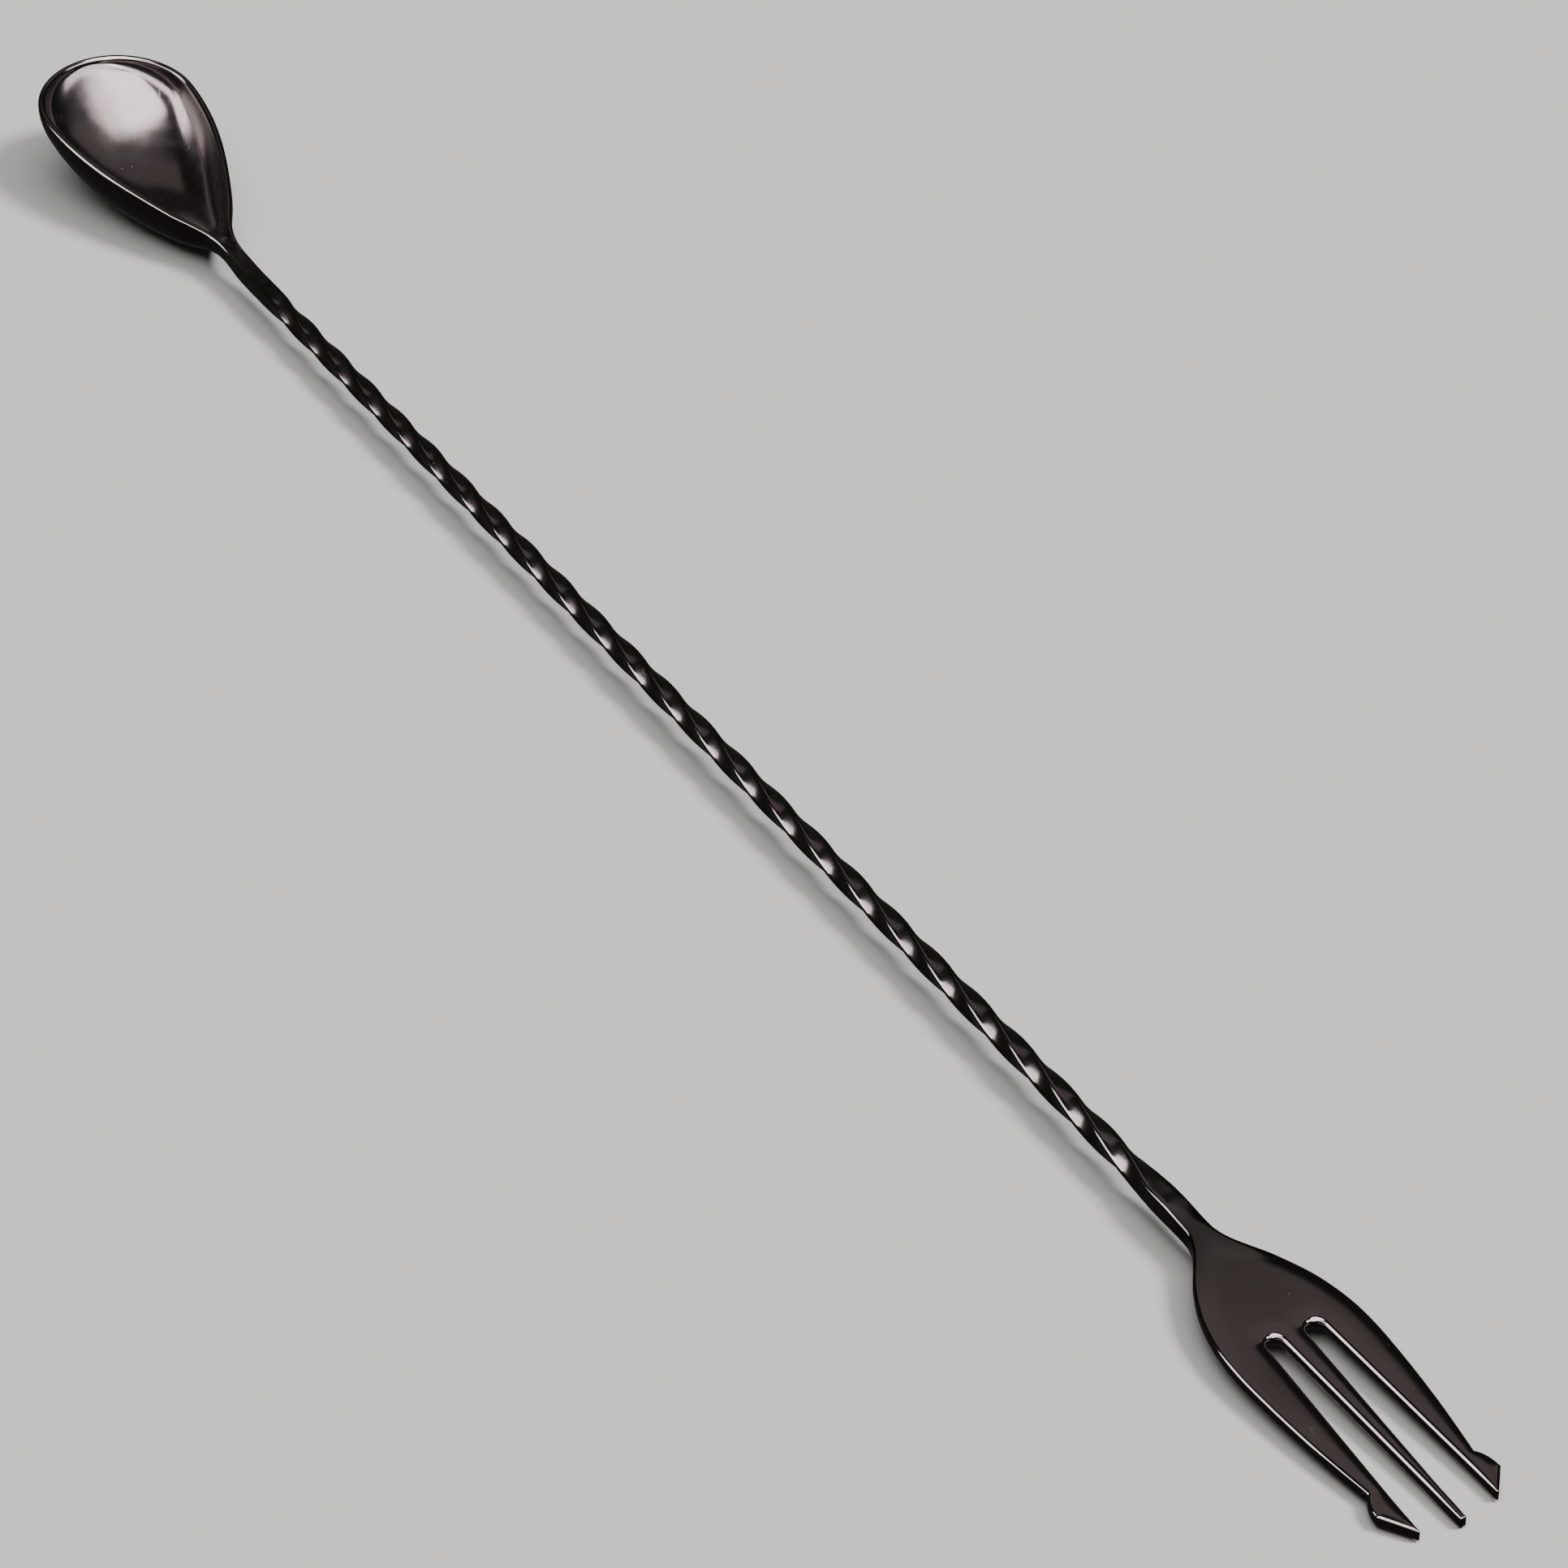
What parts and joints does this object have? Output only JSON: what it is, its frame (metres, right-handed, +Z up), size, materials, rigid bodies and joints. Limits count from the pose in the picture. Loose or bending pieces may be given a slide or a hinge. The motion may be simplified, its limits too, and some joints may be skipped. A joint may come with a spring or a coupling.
{
  "type": "bar spoon",
  "caption": "Long two-ended bar spoon in polished gunmetal-black plating: teardrop bowl, square stem with a right-handed twist, and a flat three-tine fork with half-arrow barbs.",
  "frame": {"origin": "centre of the bounding box in X and Y, on the resting plane in Z", "axes": "X runs along the stem from the bowl's tip to the fork's points, Y is across, Z is up out of the hollow of the bowl"},
  "size_m": [0.4, 0.0272, 0.0147],
  "materials": {
    "bowl_plating": "gunmetal-black plating, mirror polished",
    "weld_plating": "ground flush and plated over in gunmetal black",
    "stem_plating": "gunmetal-black plating, polished",
    "fork_plating": "gunmetal-black plating, fine satin on the flat faces"
  },
  "bodies": {
    "root": {"spoon_bowl": "bowl_plating", "bowl_weld": "weld_plating", "twisted_stem": "stem_plating", "fork_weld": "weld_plating", "trident_fork": "fork_plating"}
  },
  "joints": []
}
